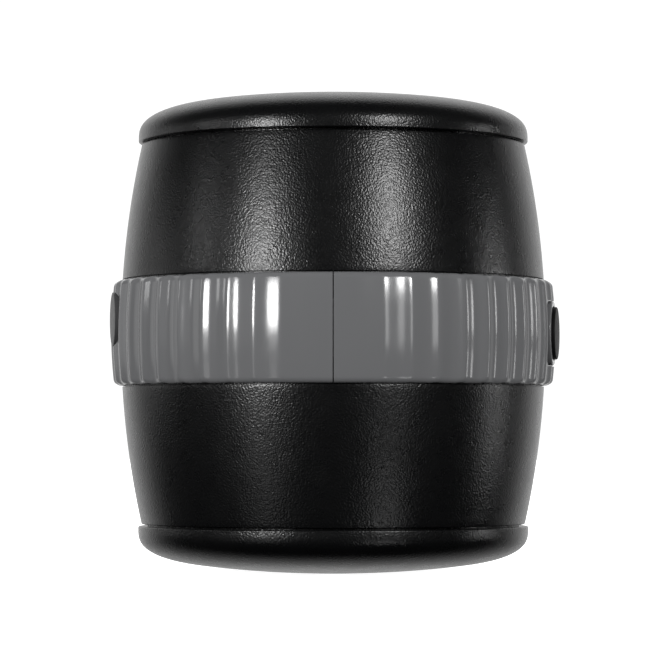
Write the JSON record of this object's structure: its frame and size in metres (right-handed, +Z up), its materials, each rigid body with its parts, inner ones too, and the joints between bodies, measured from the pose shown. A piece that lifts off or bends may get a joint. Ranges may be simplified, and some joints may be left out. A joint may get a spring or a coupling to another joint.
{
  "type": "rock tumbler barrel",
  "caption": "Bellied barrel with a rubber liner, a screw lid, domed end caps that roll on a tumbler's rollers, and a fluted grip band round its middle.",
  "frame": {"origin": "middle of the flat resting pad under the base cap", "axes": "+Z up along the barrel's axis towards the screw lid, -Y the front with the band's seam, +X the side with the badge disc"},
  "size_m": [0.132, 0.1294, 0.14],
  "materials": {
    "casing": "fine pebbled satin, moulded",
    "band": "semi-gloss moulded",
    "badge": "flat satin black",
    "plug": "satin dark grey",
    "rubber": "dull moulded rubber",
    "plate": "matt moulded",
    "steel": "plain zinc-plated"
  },
  "bodies": {
    "barrel": {"base_cap": "casing", "lower_shell": "casing", "upper_shell": "casing", "liner": "rubber", "band_right": "band", "band_left": "band", "badge_disc": "badge", "side_plug": "plug", "base_screw_1": "steel", "base_screw_2": "steel", "base_screw_3": "steel", "base_screw_4": "steel", "shell_screw_1": "steel", "shell_screw_2": "steel", "shell_screw_3": "steel", "shell_screw_4": "steel", "shell_screw_5": "steel", "shell_screw_6": "steel", "band_screw_right": "steel", "band_screw_left": "steel"},
    "lid_insert": {"inner_lid": "rubber", "pressure_plate": "plate", "lid_clip": "steel"},
    "screw_lid": {"lid_cap": "casing"}
  },
  "joints": [
    {"name": "lid_rise", "type": "slide", "parent": "barrel", "child": "lid_insert", "axis": [0, 0, 1], "range_m": [0, 0.0066]},
    {"name": "lid_turn", "type": "hinge", "parent": "lid_insert", "child": "screw_lid", "pos_m": [0, 0, 0.13], "axis": [0, 0, 1], "range_deg": [0, 720]}
  ],
  "couplings": [
    {"joint": "lid_rise", "follows": "lid_turn", "m_per_rad": 0.000525}
  ]
}
